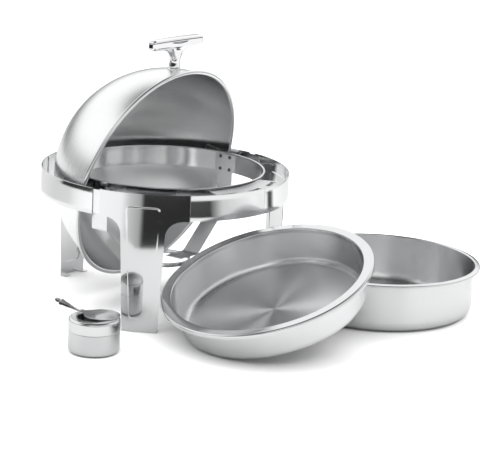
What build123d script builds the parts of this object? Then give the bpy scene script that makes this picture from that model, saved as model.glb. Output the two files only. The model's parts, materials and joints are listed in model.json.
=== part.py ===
"""Round roll-top chafer: a three-legged stand whose lid rolls back around side pivots,
with its water pan, its food pan and its covered fuel cup set out beside it."""

import os
from math import asin, atan, cos, degrees, pi, radians, sin, sqrt, tan

from build123d import *

os.makedirs("parts", exist_ok=True)

# ---------------------------------------------------------------- driving dimensions, mm
BAND_R = 215.0  # outer hoop of the stand, outside
BAND_TOP = 234.5
BAND_HEIGHT = 44.0
SHEET = 1.5  # stand sheet
LEG_ANGLES = (-60, 60, 180)  # measured from the front, towards +X
LEG_ARM_HALF = 20.5  # half of the arc a leg plate takes of the hoop, degrees
GAP_ANGLE = 3.6  # open gap between the front legs and the rear bands, degrees
LEG_TOP_HALF = 38.0
LEG_FOOT_HALF = 30.0
LEG_FILLET = 26.0
PRESS_DEPTH = 1.2  # how far the leg's centre panel is pressed out
TAB_WIDTH = 15.0
TAB_LENGTH = 14.5

RING_R = 173.0  # hoop that carries the pans, outside
RING_TOP = 236.5
RING_HEIGHT = 36.0
RING_HEM_R = 168.5  # inner radius of the rolled top hem
RING_HEM_HEIGHT = 3.0

PIVOT_Z = 214.0
PIN_R = 4.0
LID_R = 192.5  # lid sphere, outside, centred on the pivot axis
LID_SHEET = 1.0
LID_RIM_UP = 18.5  # rim plane above the pivot axis when shut
LID_BEAD_R = 3.9  # rolled edge, on the outside of the rim
LID_OPEN = 72.5  # how far the lid stands open, degrees
HANDLE_ANGLE = 14.5  # handle above the pivot axis when shut, seen from the side
HANDLE_REACH = 49.0  # lid surface to the middle of the cross bar
HANDLE_BAR = 132.0
HANDLE_THICK = 17.0
HANDLE_DEPTH = 19.0

ARM_WIDTH = 33.0
ARM_PLATE_WIDTH = 44.0
ARM_BEND_Z = 152.0
ARM_FOOT_R = 79.0
ARM_TIP_R = 30.0
FUEL_RING_R = 49.0
FUEL_RING_BORE = 46.0
FUEL_RING_HEIGHT = 7.0
FUEL_RING_Z = 67.0  # top of the arms' feet, where the fuel cup stands
RIVET_R = 2.0
RIVET_HEAD_R = 3.0
RIVET_SPACING = (20.6, 22.8)

PAN_SHEET = 1.0
WATER_RIM_R = 176.5
WATER_BODY_R = 167.0
WATER_HEIGHT = 89.0
WATER_PLACE = (233.5, -302.0)  # from the stand's axis
FOOD_RIM_R = 178.5
FOOD_BODY_R = 161.5
FOOD_BASE_R = 154.5
FOOD_CORNER = 13.0
FOOD_DEPTH = 64.0
FOOD_SKIRT = 7.0
FOOD_PLACE = (-73.0, -280.5)  # centre of the rim, from the stand's axis
FOOD_TILT = 19.65  # it leans on the water pan's rim
FOOD_TILT_TOWARDS = 166.6  # where its open side faces, from +X

CUP_R = 41.7
CUP_PLACE = (-312.0, -120.0)
CUP_TURN = -53.7  # direction of the damper's closing side, from +X
CUP_TOP = 56.6
COVER_SKIRT_Z = 36.5
COVER_OPENING_R = 27.5
CUP_SHEET = 0.8
DAMPER_PIVOT = (-22.0, 24.5)  # from the cup's axis
DAMPER_REACH = 36.0
DAMPER_R = 29.0
DAMPER_TURN = -22.9  # disc's direction from its pivot
DAMPER_HANDLE = 50.0
DAMPER_RISE = 16.7  # the handle bends up by this angle

PLAY = 0.3  # clearance between pieces that move past each other
FIT = 0.05  # running clearance on a radius

# ---------------------------------------------------------------- derived sizes and planes
band_bottom = BAND_TOP - BAND_HEIGHT
band_in = BAND_R - SHEET
ring_in = RING_R - SHEET
ring_bottom = RING_TOP - RING_HEIGHT
panel_r = BAND_R + PRESS_DEPTH
lid_in = LID_R - LID_SHEET

# the whole set is centred on the origin and stands on z = 0
tilt, towards = radians(FOOD_TILT), radians(FOOD_TILT_TOWARDS)
food_normal = Vector(sin(tilt) * cos(towards), sin(tilt) * sin(towards), cos(tilt))
food_reach = FOOD_RIM_R * sqrt(1 - food_normal.Y**2)  # half the tilted rim's extent along Y
stand_x = -(WATER_PLACE[0] + WATER_RIM_R + CUP_PLACE[0] - CUP_R) / 2
stand_y = (max(food_reach - FOOD_PLACE[1], WATER_RIM_R - WATER_PLACE[1]) - panel_r) / 2


def level(z):
    """Horizontal plane on the stand's axis."""
    return Plane((stand_x, stand_y, z))


def facing(angle, out=0.0):
    """Upright plane that faces outwards, with its origin on the floor."""
    a = radians(angle)
    outward = Vector(sin(a), -cos(a), 0)
    return Plane(Vector(stand_x, stand_y, 0) + outward * out, x_dir=(cos(a), sin(a), 0), z_dir=outward)


def slice_plane(plane):
    """Plane that holds the given plane's x axis and its normal, for a turned profile."""
    return Plane(plane.origin, x_dir=plane.x_dir, z_dir=-plane.y_dir)


def save(piece, name):
    piece.part.label = name
    export_step(piece.part, f"parts/{name}.step")


def outline(*corners):
    """Closed sketch outline from (across, up, corner radius) triples."""
    with BuildLine() as edge:
        FilletPolyline(*[c[:2] for c in corners], radius=[c[2] for c in corners], close=True)
    make_face(edge.edges())


def turned(plane, *corners, mode=Mode.ADD):
    """Turn an outline of (radius, height, corner radius) about the plane's normal."""
    with BuildSketch(slice_plane(plane)) as profile:
        outline(*corners)
    revolve(profile.sketch, axis=Axis(plane.origin, plane.z_dir), mode=mode)


def hoop(r_out, r_in, bottom, height, mode=Mode.ADD):
    with BuildSketch(level(bottom)) as plan:
        Circle(r_out)
        Circle(r_in, mode=Mode.SUBTRACT)
    extrude(plan.sketch, amount=height, mode=mode)


def sector(r_out, r_in, bottom, height, start, end, mode=Mode.ADD):
    """Part of a hoop between two angles, measured from the front towards +X."""
    with BuildSketch(level(bottom)) as plan:
        with BuildLine() as edge:
            outer = CenterArc((0, 0), r_out, start - 90, end - start)
            inner = CenterArc((0, 0), r_in, start - 90, end - start)
            Line(outer @ 0, inner @ 0)
            Line(outer @ 1, inner @ 1)
        make_face(edge.edges())
    extrude(plan.sketch, amount=height, mode=mode)


# ---------------------------------------------------------------- stand: three leg plates
arm_half = BAND_R * sin(radians(LEG_ARM_HALF))


def leg_outline():
    left = [
        (-LEG_FOOT_HALF, 0, 0),
        (-LEG_TOP_HALF, band_bottom, LEG_FILLET),
        (-arm_half, band_bottom, 0),
        (-arm_half, BAND_TOP, 3),
    ]
    right = [(-x, z, r) for x, z, r in reversed(left)]
    outline(*left, *right)


def panel_outline(inset=0.0):
    """Pressed panel: its straight sides follow the leg's, and its ends are rounded."""
    top, foot = BAND_TOP - 22 - inset, 22 + inset
    top_half, foot_half = LEG_TOP_HALF - 9 - inset, LEG_FOOT_HALF - 11 - inset
    outline((-foot_half, foot, 7), (foot_half, foot, 7), (top_half, top, 5), (-top_half, top, 5))


def curved_panel(angle, r_out, r_in, inset=0.0, soften=0.0):
    """Piece of a hoop's wall with the pressed panel's outline."""
    with BuildPart() as pressing:
        hoop(r_out, r_in, 0, BAND_TOP)
        with BuildSketch(facing(angle)) as face:
            panel_outline(inset)
        extrude(face.sketch, amount=BAND_R + 10, mode=Mode.INTERSECT)
        if soften:
            chamfer(pressing.faces().sort_by(SortBy.AREA)[-1].edges(), soften)
    return pressing.part


def make_leg(angle, name):
    upright = facing(angle)
    foot_plane = Plane(upright.origin, x_dir=upright.x_dir, z_dir=(0, 0, 1))
    with BuildPart() as leg:
        hoop(BAND_R, band_in, 0, BAND_TOP)
        with BuildSketch(upright) as plate:
            leg_outline()
        extrude(plate.sketch, amount=BAND_R + 10, mode=Mode.INTERSECT)
        with BuildSketch(foot_plane) as tabs:
            for side in (-1, 1):
                with Locations((side * (LEG_FOOT_HALF - TAB_WIDTH / 2), TAB_LENGTH / 2 - band_in)):
                    Rectangle(TAB_WIDTH, TAB_LENGTH)
            fillet(tabs.vertices().group_by(Axis.Y)[-1], 5)
        extrude(tabs.sketch, amount=SHEET)
        add(curved_panel(angle, panel_r, band_in, soften=PRESS_DEPTH * 0.75))
        add(curved_panel(angle, panel_r - SHEET, band_in - 5, inset=SHEET), mode=Mode.SUBTRACT)
    save(leg, name)


for leg_angle, leg_name in zip(LEG_ANGLES, ("leg_left_front", "leg_right_front", "leg_rear")):
    make_leg(leg_angle, leg_name)

# ---------------------------------------------------------------- stand: band segments and straps
plate_half = degrees(asin(arm_half / band_in))  # arc that a leg plate covers, on the inside
leg_edge = 60 - plate_half  # where a front leg plate meets the front bands
rear_start = 60 + plate_half + GAP_ANGLE
rear_end = 180 - plate_half
seam = 0.06  # a hairline between butted edges, degrees

for side, side_name in ((-1, "left"), (1, "right")):
    for start, end, place in ((seam, leg_edge - seam, "front"), (rear_start, rear_end - seam, "rear")):
        with BuildPart() as band:
            first, last = sorted((side * start, side * end))
            sector(BAND_R, band_in, band_bottom, BAND_HEIGHT, first, last)
        save(band, f"band_{place}_{side_name}")

STRAP_SHEET = 1.2
STRAP_MARGIN = 2.0  # straps stop short of the band's edges


def make_straps(name, angles, half):
    with BuildPart() as straps:
        for angle in angles:
            sector(band_in, band_in - STRAP_SHEET, band_bottom + STRAP_MARGIN,
                   BAND_HEIGHT - 2 * STRAP_MARGIN, angle - half, angle + half)
    save(straps, name)


make_straps("seam_straps", (-leg_edge, leg_edge, -rear_end, rear_end), 4.0)
gap_middle = rear_start - GAP_ANGLE / 2
make_straps("gap_straps", (-gap_middle, gap_middle), 5.5)

# ---------------------------------------------------------------- pan ring
rivet_middle = ring_bottom + (RING_HEIGHT - RING_HEM_HEIGHT) / 2
rivet_places = [(x * RIVET_SPACING[0] / 2, rivet_middle + z * RIVET_SPACING[1] / 2)
                for x in (-1, 1) for z in (-1, 1)]
RING_SEAM_ANGLE = -43.0

with BuildPart() as pan_ring:
    hoop(RING_R, ring_in, ring_bottom, RING_HEIGHT)
    turned(level(RING_TOP - RING_HEM_HEIGHT),
           (RING_HEM_R, 0, 0.7), (RING_R - 0.5, 0, 0), (RING_R - 0.5, RING_HEM_HEIGHT, 0),
           (RING_HEM_R, RING_HEM_HEIGHT, 0.7))
    fillet(pan_ring.edges().filter_by(GeomType.CIRCLE).group_by(Axis.Z)[-1].sort_by(SortBy.RADIUS)[-1], 0.7)
    for angle in (-90, 90):
        with BuildSketch(facing(angle)) as rivet_holes:
            with Locations(*rivet_places):
                Circle(RIVET_R + FIT)
        extrude(rivet_holes.sketch, amount=BAND_R, mode=Mode.SUBTRACT)
    sector(RING_R + 1, RING_R - 0.4, ring_bottom - 1, RING_HEIGHT + 2,
           RING_SEAM_ANGLE - 0.15, RING_SEAM_ANGLE + 0.15, mode=Mode.SUBTRACT)
save(pan_ring, "pan_ring")

# ---------------------------------------------------------------- front bridge between the hoops
BRIDGE_HALF = 24.0
BRIDGE_INNER_FLANGE = 12.0
BRIDGE_OUTER_FLANGE = 30.0
BRIDGE_SLOT = (34.0, 9.0)
bridge_top = PIVOT_Z + LID_RIM_UP - LID_BEAD_R - 0.5  # the shut lid's rim stops just above it

with BuildPart() as bridge:
    sector(band_in, RING_R, bridge_top - SHEET, SHEET, -BRIDGE_HALF, BRIDGE_HALF)
    sector(RING_R + SHEET, RING_R, bridge_top - BRIDGE_INNER_FLANGE, BRIDGE_INNER_FLANGE,
           -BRIDGE_HALF, BRIDGE_HALF)
    sector(band_in, band_in - SHEET, bridge_top - BRIDGE_OUTER_FLANGE, BRIDGE_OUTER_FLANGE,
           -BRIDGE_HALF, BRIDGE_HALF)
    for angle in (-17, 0, 17):
        slot_plane = Plane(facing(angle, (RING_R + band_in) / 2).origin + Vector(0, 0, bridge_top),
                           x_dir=facing(angle).x_dir, z_dir=(0, 0, 1))
        with BuildSketch(slot_plane) as slot:
            SlotOverall(*BRIDGE_SLOT)
        extrude(slot.sketch, amount=-2 * SHEET, mode=Mode.SUBTRACT)
save(bridge, "front_bridge")

# ---------------------------------------------------------------- fuel arms, their rivets, fuel ring
arm_out = sqrt(ring_in**2 - (ARM_PLATE_WIDTH / 2) ** 2) - 0.02  # the flat plate's edges meet the ring
arm_in = arm_out - SHEET
foot_bottom = FUEL_RING_Z - SHEET
plate_top = RING_TOP - RING_HEM_HEIGHT - 0.2  # just under the ring's hem
for side, side_name in ((-1, "left"), (1, "right")):
    across = slice_plane(Plane(facing(90 * side).origin, x_dir=(side, 0, 0), z_dir=(0, 0, 1)))
    with BuildPart() as arm:
        with BuildSketch(across) as strip:
            with BuildLine() as route:
                FilletPolyline((arm_out, plate_top), (arm_out, ARM_BEND_Z), (ARM_FOOT_R, foot_bottom),
                               (ARM_TIP_R, foot_bottom), radius=5)
                offset(amount=SHEET, side=Side.RIGHT)
            make_face()
        extrude(strip.sketch, amount=ARM_WIDTH / 2, both=True)
        with BuildSketch(facing(90 * side, arm_in)) as plate:
            with Locations((0, (plate_top + ring_bottom) / 2)):
                RectangleRounded(ARM_PLATE_WIDTH, plate_top - ring_bottom, 2)
        extrude(plate.sketch, amount=SHEET)
        with BuildSketch(facing(90 * side)) as rivet_holes:
            with Locations(*rivet_places):
                Circle(RIVET_R + FIT)
        extrude(rivet_holes.sketch, amount=BAND_R, mode=Mode.SUBTRACT)
    save(arm, f"fuel_arm_{side_name}")

    with BuildPart() as outer_heads:
        with BuildSketch(facing(90 * side, RING_R - 2)) as heads:
            with Locations(*rivet_places):
                Circle(RIVET_HEAD_R)
        extrude(heads.sketch, amount=2.5)
        hoop(RING_R, 1, ring_bottom, RING_HEIGHT, mode=Mode.SUBTRACT)
    with BuildPart() as rivets:
        for head_plane, size, length in ((arm_in - 0.6, RIVET_HEAD_R, 0.6), (arm_in, RIVET_R, RING_R - arm_in)):
            with BuildSketch(facing(90 * side, head_plane)) as section:
                with Locations(*rivet_places):
                    Circle(size)
            extrude(section.sketch, amount=length)
        add(outer_heads.part)
    save(rivets, f"arm_rivets_{side_name}")

with BuildPart() as fuel_ring:
    hoop(FUEL_RING_R, FUEL_RING_BORE, FUEL_RING_Z, FUEL_RING_HEIGHT)
    fillet(fuel_ring.edges().group_by(Axis.Z)[-1], 0.8)
save(fuel_ring, "fuel_ring")

# ---------------------------------------------------------------- lid pivots, one on each side
BOSS_R = 9.0
BOSS_REACH = 4.0
SPACER_R = 7.0
WASHER_R = 9.0
WASHER_SHEET = 1.2
EAR_IN = 185.5  # the ear runs between two washers, from EAR_IN to EAR_OUT
EAR_OUT = EAR_IN + SHEET
washer_in = EAR_IN - PLAY - WASHER_SHEET
washer_out = EAR_OUT + PLAY
pin_in, pin_out = RING_R + BOSS_REACH, band_in - BOSS_REACH


def tube(angle, out, length, r_out, r_in=0.0, mode=Mode.ADD):
    """Round piece on the pivot axis, from a distance out and outwards."""
    with BuildSketch(facing(angle, out)) as section:
        with Locations((0, PIVOT_Z)):
            Circle(r_out)
            if r_in:
                Circle(r_in, mode=Mode.SUBTRACT)
    extrude(section.sketch, amount=length, mode=mode)


with BuildPart() as ring_bosses:
    for angle in (-90, 90):
        tube(angle, RING_R - BOSS_REACH, 2 * BOSS_REACH, BOSS_R)
    with BuildSketch(level(ring_bottom)) as ring_plan:
        Circle(RING_R)
    extrude(ring_plan.sketch, amount=RING_HEIGHT, mode=Mode.SUBTRACT)
save(ring_bosses, "ring_bosses")

with BuildPart() as band_bosses:
    for angle in (-90, 90):
        tube(angle, pin_out, 2 * BOSS_REACH, BOSS_R)
    with BuildSketch(level(band_bottom)) as band_plan:
        Circle(band_in - STRAP_SHEET)
    extrude(band_plan.sketch, amount=BAND_HEIGHT, mode=Mode.INTERSECT)
save(band_bosses, "band_bosses")

for angle, side_name in ((-90, "left"), (90, "right")):
    with BuildPart() as pin:
        tube(angle, pin_in, pin_out - pin_in, PIN_R)
    save(pin, f"pivot_pin_{side_name}")

with BuildPart() as spacers:
    for angle in (-90, 90):
        tube(angle, pin_in, washer_in - pin_in, SPACER_R, PIN_R + FIT)
        tube(angle, washer_out + WASHER_SHEET, pin_out - washer_out - WASHER_SHEET, SPACER_R, PIN_R + FIT)
save(spacers, "pivot_spacers")

with BuildPart() as washers:
    for angle in (-90, 90):
        tube(angle, washer_in, WASHER_SHEET, WASHER_R, PIN_R + FIT)
        tube(angle, washer_out, WASHER_SHEET, WASHER_R, PIN_R + FIT)
save(washers, "pivot_washers")

# ---------------------------------------------------------------- lid, in the frame of the shut lid
lean = radians(LID_OPEN)
lid_frame = Plane((stand_x, stand_y, PIVOT_Z), x_dir=(1, 0, 0), z_dir=(0, sin(lean), cos(lean)))
rim_out = sqrt(LID_R**2 - LID_RIM_UP**2)
rim_in = sqrt(lid_in**2 - LID_RIM_UP**2)
lift = radians(HANDLE_ANGLE)
handle_dir = lid_frame.y_dir * -cos(lift) + lid_frame.z_dir * sin(lift)


def on_handle(out):
    """Plane across the handle's axis, a distance out from the lid's surface."""
    return Plane(lid_frame.origin + handle_dir * (LID_R + out), x_dir=(1, 0, 0), z_dir=handle_dir)


SCREW_R = 3.0

with BuildPart() as lid:
    with BuildSketch(slice_plane(lid_frame)) as shell_profile:
        with BuildLine():
            outer = ThreePointArc((rim_out, LID_RIM_UP), (LID_R * cos(1), LID_R * sin(1)), (0, LID_R))
            inner = ThreePointArc((rim_in, LID_RIM_UP), (lid_in * cos(1), lid_in * sin(1)), (0, lid_in))
            Line(outer @ 0, inner @ 0)
            Line(outer @ 1, inner @ 1)
        make_face()
        with Locations((rim_in + LID_BEAD_R, LID_RIM_UP)):
            Circle(LID_BEAD_R)
    revolve(shell_profile.sketch, axis=Axis(lid_frame.origin, lid_frame.z_dir))
    with BuildSketch(on_handle(2)) as screw_hole:
        Circle(SCREW_R + FIT)
    extrude(screw_hole.sketch, amount=-5, mode=Mode.SUBTRACT)
save(lid, "lid_shell")

EAR_HALF = 10.0
EAR_WELD = (41.0, 58.0)  # stretch of the ear that follows the lid's inside
for side, side_name in ((-1, "left"), (1, "right")):
    ear_face = Plane(lid_frame.origin + Vector(side * EAR_IN, 0, 0), x_dir=lid_frame.y_dir * side,
                     z_dir=(side, 0, 0))
    with BuildPart() as weld_tab:
        with Locations(lid_frame.location):
            Sphere(lid_in)
            Sphere(lid_in - SHEET, mode=Mode.SUBTRACT)
        with BuildSketch(ear_face.offset(-30)) as tab_face:
            with Locations((0, (EAR_WELD[0] + EAR_WELD[1]) / 2)):
                RectangleRounded(2 * EAR_HALF, EAR_WELD[1] - EAR_WELD[0] + 6, 4)
        extrude(tab_face.sketch, amount=60, mode=Mode.INTERSECT)
    with BuildPart() as ear:
        with BuildSketch(ear_face) as strip:
            Circle(EAR_HALF)
            with Locations((0, EAR_WELD[0] / 2)):
                Rectangle(2 * EAR_HALF, EAR_WELD[0])
        extrude(strip.sketch, amount=SHEET)
        add(weld_tab.part)
        with Locations(lid_frame.location):
            Sphere(lid_in, mode=Mode.INTERSECT)
        tube(90 * side, EAR_IN - 5, 10, PIN_R + FIT, mode=Mode.SUBTRACT)
    save(ear, f"lid_ear_{side_name}")

# ---------------------------------------------------------------- lid handle
COLLAR_R = 12.0
COLLAR_HEIGHT = 4.0
NECK_HALF = 7.5
HANDLE_ROUND = 6.0
bar_under = HANDLE_REACH - HANDLE_THICK / 2 - COLLAR_HEIGHT
bar_over = bar_under + HANDLE_THICK

with BuildPart() as collar:
    with BuildSketch(on_handle(-2)) as disc:
        Circle(COLLAR_R)
        Circle(SCREW_R + FIT, mode=Mode.SUBTRACT)
    extrude(disc.sketch, amount=2 + COLLAR_HEIGHT)
    with Locations(lid_frame.location):
        Sphere(LID_R, mode=Mode.SUBTRACT)
    fillet(collar.edges().filter_by(GeomType.CIRCLE).sort_by(Axis(on_handle(0).origin, handle_dir))[-1], 1.5)
save(collar, "handle_collar")

handle_face = slice_plane(on_handle(COLLAR_HEIGHT))
with BuildPart() as handle:
    with BuildSketch(handle_face) as tee:
        half = HANDLE_BAR / 2
        outline((-NECK_HALF - 1.5, 0, 0), (NECK_HALF + 1.5, 0, 0), (NECK_HALF, bar_under, 24),
                (half, bar_under, 6), (half, bar_over, 6), (-half, bar_over, 6),
                (-half, bar_under, 6), (-NECK_HALF, bar_under, 24))
    extrude(tee.sketch, amount=HANDLE_DEPTH / 2, both=True)
    broad_faces = handle.faces().filter_by(Plane(handle_face.origin, z_dir=handle_face.z_dir))
    fillet([e for face in broad_faces for e in face.edges() if e not in handle.edges().group_by(
        Axis(handle_face.origin, handle_dir))[0]], HANDLE_ROUND)
    with BuildSketch(on_handle(COLLAR_HEIGHT)) as tapped:
        Circle(SCREW_R)
    extrude(tapped.sketch, amount=18, mode=Mode.SUBTRACT)
save(handle, "handle")

SCREW_WASHER_R = 8.0
SCREW_HEAD_R = 5.0
inside = -LID_SHEET - 0.2  # the washer's flat side, past the hollow of the lid
with BuildPart() as screw:
    with BuildSketch(on_handle(inside - 1.2)) as head:
        RegularPolygon(SCREW_HEAD_R, 6)
    extrude(head.sketch, amount=-3.5)
    with BuildSketch(on_handle(inside - 1.2)) as shank:
        Circle(SCREW_R)
    extrude(shank.sketch, amount=1.2 - inside + COLLAR_HEIGHT + 15)
save(screw, "handle_screw")

with BuildPart() as screw_washer:
    with BuildSketch(on_handle(inside - 1.2)) as disc:
        Circle(SCREW_WASHER_R)
        Circle(SCREW_R + FIT, mode=Mode.SUBTRACT)
    extrude(disc.sketch, amount=1.4)
    with Locations(lid_frame.location):
        Sphere(lid_in, mode=Mode.INTERSECT)
save(screw_washer, "handle_washer")

# ---------------------------------------------------------------- water pan, standing on the table
water_frame = Plane((stand_x + WATER_PLACE[0], stand_y + WATER_PLACE[1], 0))
WATER_CORNER = 20.0
water_base_r = WATER_BODY_R - 2.0
rim_drop = 3.0  # the rim slopes down outwards
with BuildPart() as water_pan:
    turned(water_frame,
           (0, 0, 0), (water_base_r, 0, WATER_CORNER), (WATER_BODY_R, WATER_HEIGHT - 1, 1.5),
           (WATER_RIM_R - 2, WATER_HEIGHT - 1 - rim_drop, 0), (WATER_RIM_R - 2, WATER_HEIGHT - rim_drop, 0),
           (WATER_BODY_R - 1, WATER_HEIGHT, 2.5), (water_base_r - PAN_SHEET, PAN_SHEET, WATER_CORNER - 1),
           (0, PAN_SHEET, 0))
    with BuildSketch(slice_plane(water_frame)) as bead:
        with Locations((WATER_RIM_R - 2, WATER_HEIGHT - rim_drop - 1.2)):
            Circle(2)
    revolve(bead.sketch, axis=Axis(water_frame.origin, water_frame.z_dir))
save(water_pan, "water_pan")

# ---------------------------------------------------------------- food pan, leaning on the water pan
flare = atan((FOOD_BODY_R - FOOD_BASE_R) / (FOOD_DEPTH - PAN_SHEET))
corner_r, corner_depth = FOOD_BASE_R - FOOD_CORNER * tan(pi / 4 - flare / 2), FOOD_DEPTH - FOOD_CORNER
food_z = corner_depth * cos(tilt) + corner_r * sin(tilt) + FOOD_CORNER  # low corner on the table
uphill = Vector(-cos(tilt) * cos(towards), -cos(tilt) * sin(towards), sin(tilt))
food_frame = Plane((stand_x + FOOD_PLACE[0], stand_y + FOOD_PLACE[1], food_z), x_dir=uphill,
                   z_dir=food_normal)
STEP_R = 138.0  # inside this radius the floor is raised by the step
STEP_UP = 1.6
with BuildPart() as food_pan:
    turned(food_frame,
           (0, STEP_UP - FOOD_DEPTH, 0), (STEP_R, STEP_UP - FOOD_DEPTH, 0.8), (STEP_R + 1, -FOOD_DEPTH, 0.8),
           (FOOD_BASE_R, -FOOD_DEPTH, FOOD_CORNER), (FOOD_BODY_R, -PAN_SHEET, 1.5),
           (FOOD_RIM_R - PAN_SHEET, -PAN_SHEET, 2), (FOOD_RIM_R - PAN_SHEET, -FOOD_SKIRT, 0),
           (FOOD_RIM_R, -FOOD_SKIRT, 0), (FOOD_RIM_R, 0, 3), (FOOD_BODY_R - PAN_SHEET, 0, 2.5),
           (FOOD_BASE_R - PAN_SHEET, PAN_SHEET - FOOD_DEPTH, FOOD_CORNER - 1),
           (STEP_R + 0.6, PAN_SHEET - FOOD_DEPTH, 0.5), (STEP_R - 0.4, PAN_SHEET + STEP_UP - FOOD_DEPTH, 0.5),
           (0, PAN_SHEET + STEP_UP - FOOD_DEPTH, 0))
save(food_pan, "food_pan")

# ---------------------------------------------------------------- fuel cup and its cover
cup_x, cup_y = stand_x + CUP_PLACE[0], stand_y + CUP_PLACE[1]
turn = radians(CUP_TURN)
cup_frame = Plane((cup_x, cup_y, 0), x_dir=(cos(turn), sin(turn), 0), z_dir=(0, 0, 1))
cover_in = CUP_R - 1.0
neck_r = cover_in - PLAY
body_r = CUP_R - 0.5
with BuildPart() as cup:
    ledge = COVER_SKIRT_Z - PLAY
    turned(cup_frame,
           (0, 0, 0), (body_r, 0, 7), (body_r, ledge, 0.6), (neck_r, ledge, 0), (neck_r, ledge + 11, 0),
           (neck_r - CUP_SHEET, ledge + 11, 0), (neck_r - CUP_SHEET, ledge - 0.5, 0),
           (body_r - CUP_SHEET, ledge - 2, 0), (body_r - CUP_SHEET, CUP_SHEET, 6.2), (0, CUP_SHEET, 0))
save(cup, "fuel_cup")

DAMPER_RIVET_R = 1.8
with BuildPart() as cover:
    lip = COVER_OPENING_R + CUP_SHEET
    turned(cup_frame,
           (cover_in, COVER_SKIRT_Z, 0), (CUP_R, COVER_SKIRT_Z, 0), (CUP_R, CUP_TOP, 4.5),
           (COVER_OPENING_R, CUP_TOP, 0.8), (COVER_OPENING_R, CUP_TOP - 3, 0), (lip, CUP_TOP - 3, 0),
           (lip, CUP_TOP - 1, 0), (cover_in, CUP_TOP - 1, 3.5))
    with BuildSketch(cup_frame) as rivet_hole:
        with Locations(DAMPER_PIVOT):
            Circle(DAMPER_RIVET_R + FIT)
    extrude(rivet_hole.sketch, amount=CUP_TOP + 5, mode=Mode.SUBTRACT)
save(cover, "cup_cover")

# ---------------------------------------------------------------- damper: disc, neck and raised handle
DAMPER_SHEET = 1.0
pivot_point = cup_frame.from_local_coords(Vector(*DAMPER_PIVOT, CUP_TOP + PLAY))
swing = radians(CUP_TURN + DAMPER_TURN)
damper_frame = Plane(pivot_point, x_dir=(cos(swing), sin(swing), 0), z_dir=(0, 0, 1))
rise = radians(DAMPER_RISE)
bend_at = 7.0  # the handle starts to rise this far behind the pivot
handle_x = -damper_frame.x_dir * cos(rise) + damper_frame.z_dir * sin(rise)
raised = Plane(pivot_point - damper_frame.x_dir * bend_at, x_dir=handle_x,
               z_dir=handle_x.cross(damper_frame.y_dir * -1))
raised_length = (DAMPER_HANDLE - bend_at) / cos(rise)
LOBES = ((0.0, 0.0, 4.2), (-7.5, 3.6, 3.2), (-7.5, -3.6, 3.2))  # along, across, radius at the tip

with BuildPart() as damper:
    with BuildSketch(damper_frame) as flat:
        with Locations((DAMPER_REACH, 0)):
            Circle(DAMPER_R)
        with BuildLine():
            Polyline((-bend_at - 0.6, -3.2), (0, -6.5), (14, -9), (14, 9), (0, 6.5), (-bend_at - 0.6, 3.2),
                     close=True)
        make_face()
    extrude(flat.sketch, amount=DAMPER_SHEET)
    with BuildSketch(raised) as grip:
        tip = raised_length - LOBES[0][2]
        with BuildLine():
            Polyline((-0.6, -3.2), (tip - 16, -2.6), (tip - 6, -4.4), (tip, -2.4), (tip, 2.4),
                     (tip - 6, 4.4), (tip - 16, 2.6), (-0.6, 3.2), close=True)
        make_face()
        for along, aside, lobe_r in LOBES:
            with Locations((tip + along, aside)):
                Circle(lobe_r)
    extrude(grip.sketch, amount=DAMPER_SHEET)
    with BuildSketch(damper_frame) as pivot_hole:
        Circle(DAMPER_RIVET_R + FIT)
    extrude(pivot_hole.sketch, amount=5, mode=Mode.SUBTRACT)
save(damper, "damper")

with BuildPart() as damper_rivet:
    over = DAMPER_SHEET + PLAY
    under = -1.0 - PLAY
    with BuildSketch(damper_frame.offset(under - 1.2)) as lower:
        Circle(3.4)
    extrude(lower.sketch, amount=1.2)
    with BuildSketch(damper_frame.offset(under - 0.1)) as shank:
        Circle(DAMPER_RIVET_R)
    extrude(shank.sketch, amount=over - under + 0.2)
    with BuildSketch(damper_frame.offset(over)) as upper:
        Circle(3.6)
    extrude(upper.sketch, amount=1.6)
    fillet(damper_rivet.edges().filter_by(GeomType.CIRCLE).sort_by(Axis.Z)[-1], 1.0)
save(damper_rivet, "damper_rivet")
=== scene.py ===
import json
from itertools import product
from math import asin, atan2, cos, degrees, hypot, pi, radians, sin, sqrt, tan

import bmesh
import bpy
import numpy as np
from mathutils import Matrix, Vector


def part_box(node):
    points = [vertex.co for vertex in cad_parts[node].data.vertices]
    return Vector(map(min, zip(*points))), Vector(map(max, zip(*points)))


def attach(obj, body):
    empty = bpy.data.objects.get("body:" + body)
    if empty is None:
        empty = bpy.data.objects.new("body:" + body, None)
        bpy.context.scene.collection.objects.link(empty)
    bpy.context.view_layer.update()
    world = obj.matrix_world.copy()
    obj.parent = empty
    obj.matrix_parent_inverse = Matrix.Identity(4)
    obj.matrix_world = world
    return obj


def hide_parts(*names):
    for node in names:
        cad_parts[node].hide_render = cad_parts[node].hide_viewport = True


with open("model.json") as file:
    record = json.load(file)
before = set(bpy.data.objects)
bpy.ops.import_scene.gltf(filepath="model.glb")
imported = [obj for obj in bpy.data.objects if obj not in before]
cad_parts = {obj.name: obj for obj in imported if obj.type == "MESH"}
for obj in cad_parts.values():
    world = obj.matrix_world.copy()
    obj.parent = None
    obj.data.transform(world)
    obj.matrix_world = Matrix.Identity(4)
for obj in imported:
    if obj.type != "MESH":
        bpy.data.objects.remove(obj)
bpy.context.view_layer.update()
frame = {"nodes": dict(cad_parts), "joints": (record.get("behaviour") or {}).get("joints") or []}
MM = 0.001

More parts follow.
